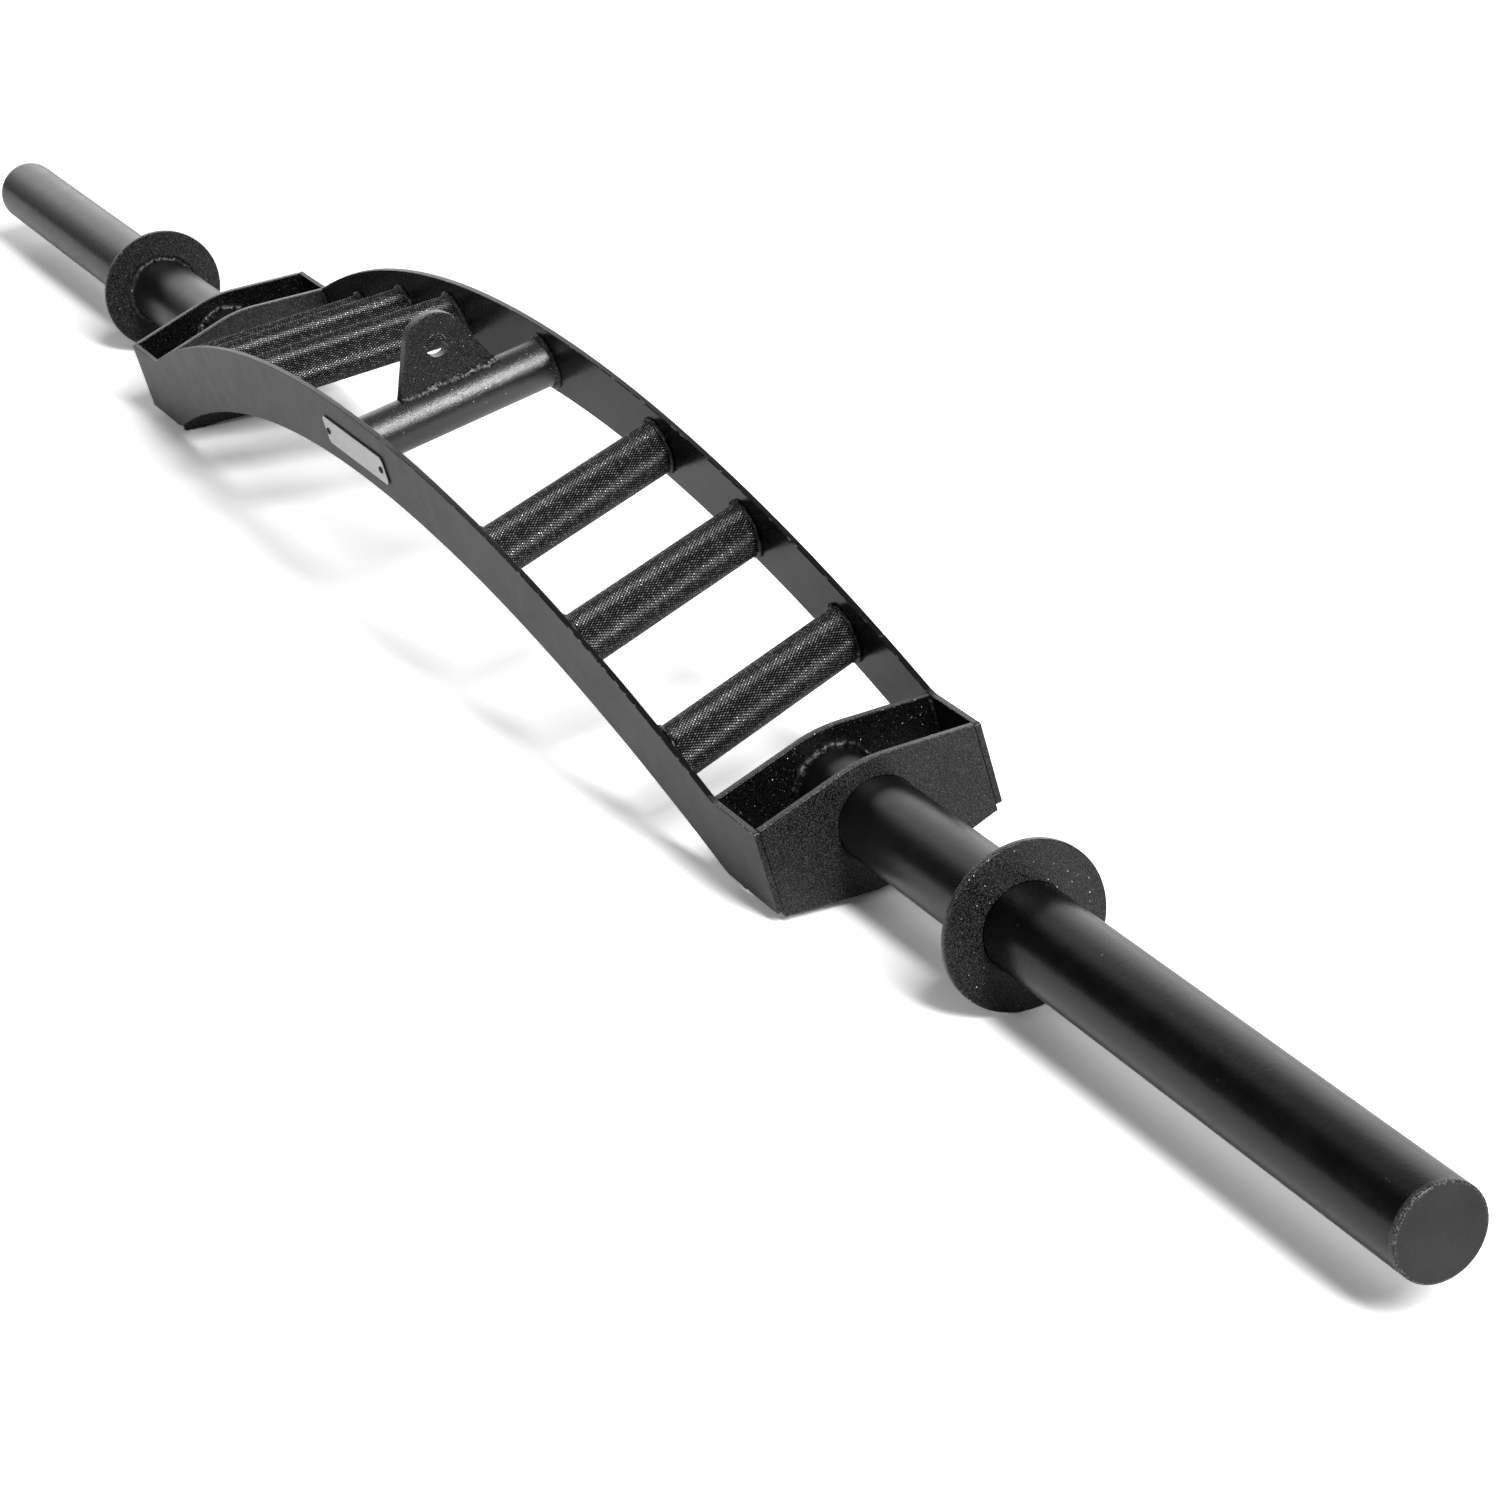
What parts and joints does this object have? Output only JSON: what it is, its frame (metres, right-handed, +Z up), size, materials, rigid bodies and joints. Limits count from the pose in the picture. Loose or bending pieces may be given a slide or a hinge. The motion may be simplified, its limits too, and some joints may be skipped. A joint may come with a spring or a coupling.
{
  "type": "swiss bar",
  "caption": "Arched barbell frame with flat side rails, slanted knurled handles between them, a centre tube with a lug, and a round sleeve with a collar at each end.",
  "frame": {"origin": "on the floor, under the middle of the bar as it lies leaned on its front rail, at the centre of the bounding box's base", "axes": "+X along the bar towards the right sleeve's end, +Y from the front rail to the back rail, +Z up. The bar lies as the picture shows it: both collars and the lower front corners of the inner end plates touch the floor, so the frame leans 12.9 degrees about X"},
  "size_m": [2.126, 0.1728, 0.2064],
  "materials": {
    "satin_black": "smooth satin black coat",
    "powder_coat": "speckled satin black powder coat, worn bright along its thin edges",
    "knurled_black": "fine diamond knurling under a black coat",
    "weld_bead": "rippled weld bead under a glossy black coat",
    "plate_metal": "bright brushed metal, left bare",
    "rivet_black": "dark satin rivet head"
  },
  "bodies": {
    "root": {"collar_left": "powder_coat", "collar_right": "powder_coat", "cross_tube": "powder_coat", "end_cap_left": "satin_black", "end_cap_right": "satin_black", "handle_left_inner": "knurled_black", "handle_left_middle": "knurled_black", "handle_left_outer": "knurled_black", "handle_right_inner": "knurled_black", "handle_right_middle": "knurled_black", "handle_right_outer": "knurled_black", "lug_plate": "powder_coat", "name_plate": "plate_metal", "plate_inner_left": "powder_coat", "plate_inner_right": "powder_coat", "plate_outer_left": "powder_coat", "plate_outer_right": "powder_coat", "rail_back": "satin_black", "rail_front": "satin_black", "rivet_left": "rivet_black", "rivet_right": "rivet_black", "sleeve_left": "satin_black", "sleeve_right": "satin_black", "weld_box_corner_left_back": "weld_bead", "weld_box_corner_left_front": "weld_bead", "weld_box_corner_right_back": "weld_bead", "weld_box_corner_right_front": "weld_bead", "weld_collar_left": "weld_bead", "weld_collar_right": "weld_bead", "weld_end_corner_left_back": "weld_bead", "weld_end_corner_left_front": "weld_bead", "weld_end_corner_right_back": "weld_bead", "weld_end_corner_right_front": "weld_bead", "weld_grip_corner_left_back": "weld_bead", "weld_grip_corner_left_front": "weld_bead", "weld_grip_corner_right_back": "weld_bead", "weld_grip_corner_right_front": "weld_bead", "weld_left_inner_back": "weld_bead", "weld_left_inner_front": "weld_bead", "weld_left_middle_back": "weld_bead", "weld_left_middle_front": "weld_bead", "weld_left_outer_back": "weld_bead", "weld_left_outer_front": "weld_bead", "weld_lug_left": "weld_bead", "weld_lug_right": "weld_bead", "weld_right_inner_back": "weld_bead", "weld_right_inner_front": "weld_bead", "weld_right_middle_back": "weld_bead", "weld_right_middle_front": "weld_bead", "weld_right_outer_back": "weld_bead", "weld_right_outer_front": "weld_bead", "weld_sleeve_inner_left": "weld_bead", "weld_sleeve_inner_right": "weld_bead", "weld_sleeve_outer_left": "weld_bead", "weld_sleeve_outer_right": "weld_bead", "weld_tube_back": "weld_bead", "weld_tube_front": "weld_bead"}
  },
  "joints": []
}
